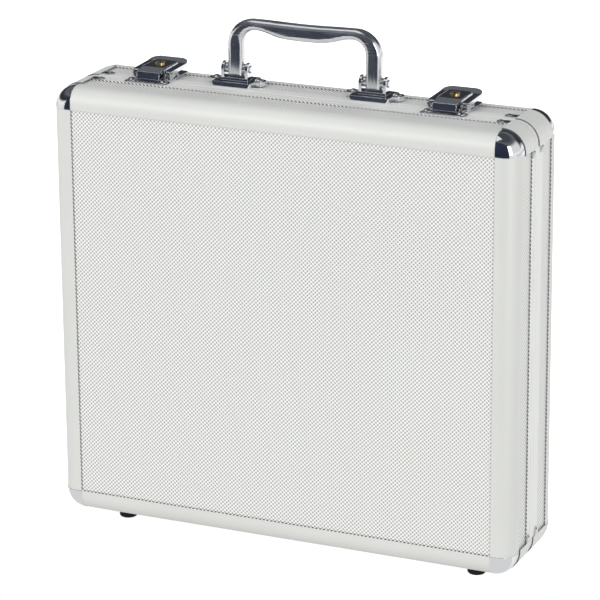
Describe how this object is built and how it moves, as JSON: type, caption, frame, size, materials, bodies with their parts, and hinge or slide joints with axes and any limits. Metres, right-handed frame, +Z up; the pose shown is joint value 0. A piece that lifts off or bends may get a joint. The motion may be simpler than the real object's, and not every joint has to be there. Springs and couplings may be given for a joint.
{
  "type": "receiver carrying case",
  "caption": "Hard carrying case in aluminium profiles with textured panels, chrome corners, a swinging carry handle, toggle latches with locks, and cut foam inside.",
  "frame": {"origin": "centre of the bounding box's footprint, on the floor under the feet of the closed case", "axes": "+X to the right seen from the lid's panel, +Y towards the base's back panel, +Z up towards the handle"},
  "size_m": [0.4042, 0.0966, 0.4276],
  "materials": {
    "anodised_aluminium": "satin anodised extrusion",
    "textured_panel": "silver laminate with a fine embossed diamond texture, on a fibreboard core",
    "textured_strip": "silver laminate with a fine embossed diamond texture, on a fibreboard core",
    "chrome_fittings": "polished chrome plate",
    "rivet_steel": "bright nickel plate",
    "brass_lock": "polished brass",
    "black_rubber": "matte",
    "black_plastic": "matte moulded",
    "grey_foam": "dense closed-cell foam"
  },
  "bodies": {
    "base": {"base_back_panel": "textured_panel", "base_edge_top": "anodised_aluminium", "base_edge_bottom": "anodised_aluminium", "base_edge_left": "anodised_aluminium", "base_edge_right": "anodised_aluminium", "base_board_top": "textured_strip", "base_board_bottom": "textured_strip", "base_board_left": "textured_strip", "base_board_right": "textured_strip", "base_closing_frame": "anodised_aluminium", "base_ball_corners": "chrome_fittings", "base_corner_covers": "chrome_fittings", "base_corner_blocks": "black_plastic", "base_corner_rivets": "rivet_steel", "base_foam_tray": "grey_foam", "base_feet": "black_rubber", "base_feet_screws": "rivet_steel", "base_hinge_leaves": "rivet_steel", "base_hinge_rivets": "rivet_steel", "hinge_pins": "rivet_steel", "handle_brackets": "chrome_fittings", "handle_bracket_rivets": "chrome_fittings", "handle_pins": "chrome_fittings", "left_latch_base": "chrome_fittings", "right_latch_base": "chrome_fittings", "latch_base_rivets": "chrome_fittings", "latch_pivot_pins": "rivet_steel"},
    "lid": {"lid_front_panel": "textured_panel", "lid_edge_top": "anodised_aluminium", "lid_edge_bottom": "anodised_aluminium", "lid_edge_left": "anodised_aluminium", "lid_edge_right": "anodised_aluminium", "lid_board_top": "textured_strip", "lid_board_bottom": "textured_strip", "lid_board_left": "textured_strip", "lid_board_right": "textured_strip", "lid_closing_frame": "anodised_aluminium", "lid_ball_corners": "chrome_fittings", "lid_corner_covers": "chrome_fittings", "lid_corner_blocks": "black_plastic", "lid_corner_rivets": "rivet_steel", "lid_foam_pad": "grey_foam", "lid_feet": "black_rubber", "lid_feet_screws": "rivet_steel", "lid_hinge_leaves": "rivet_steel", "lid_hinge_rivets": "rivet_steel", "latch_strikes": "chrome_fittings", "strike_rivets": "chrome_fittings"},
    "handle": {"carry_handle": "chrome_fittings"},
    "left_latch_lever": {"left_lever": "chrome_fittings", "left_hook_pin": "rivet_steel"},
    "left_latch_hook": {"left_hook_plate": "chrome_fittings"},
    "left_latch_lock": {"left_lock_plug": "brass_lock", "left_lock_cam": "rivet_steel"},
    "right_latch_lever": {"right_lever": "chrome_fittings", "right_hook_pin": "rivet_steel"},
    "right_latch_hook": {"right_hook_plate": "chrome_fittings"},
    "right_latch_lock": {"right_lock_plug": "brass_lock", "right_lock_cam": "rivet_steel"}
  },
  "joints": [
    {"name": "lid_hinge", "type": "hinge", "parent": "base", "child": "lid", "pos_m": [0, 0, 0.0062], "axis": [1, 0, 0], "range_deg": [0, 100]},
    {"name": "handle_swing", "type": "hinge", "parent": "base", "child": "handle", "pos_m": [-0.005, 0.019, 0.3855], "axis": [1, 0, 0], "range_deg": [-85, 85]},
    {"name": "left_lever_swing", "type": "hinge", "parent": "base", "child": "left_latch_lever", "pos_m": [-0.133, 0.0035, 0.3775], "axis": [1, 0, 0], "range_deg": [0, 90]},
    {"name": "left_hook_swing", "type": "hinge", "parent": "left_latch_lever", "child": "left_latch_hook", "pos_m": [-0.133, 0.0095, 0.3782], "axis": [1, 0, 0], "range_deg": [-90, 0]},
    {"name": "left_lock_turn", "type": "hinge", "parent": "left_latch_hook", "child": "left_latch_lock", "pos_m": [-0.133, 0.017, 0.3834], "axis": [0, 0, 1], "range_deg": [0, 90]},
    {"name": "right_lever_swing", "type": "hinge", "parent": "base", "child": "right_latch_lever", "pos_m": [0.124, 0.0035, 0.3775], "axis": [1, 0, 0], "range_deg": [0, 90]},
    {"name": "right_hook_swing", "type": "hinge", "parent": "right_latch_lever", "child": "right_latch_hook", "pos_m": [0.124, 0.0095, 0.3782], "axis": [1, 0, 0], "range_deg": [-90, 0]},
    {"name": "right_lock_turn", "type": "hinge", "parent": "right_latch_hook", "child": "right_latch_lock", "pos_m": [0.124, 0.017, 0.3834], "axis": [0, 0, 1], "range_deg": [0, 90]}
  ],
  "couplings": [
    {"joint": "left_hook_swing", "follows": "left_lever_swing", "ratio": -1},
    {"joint": "right_hook_swing", "follows": "right_lever_swing", "ratio": -1}
  ]
}
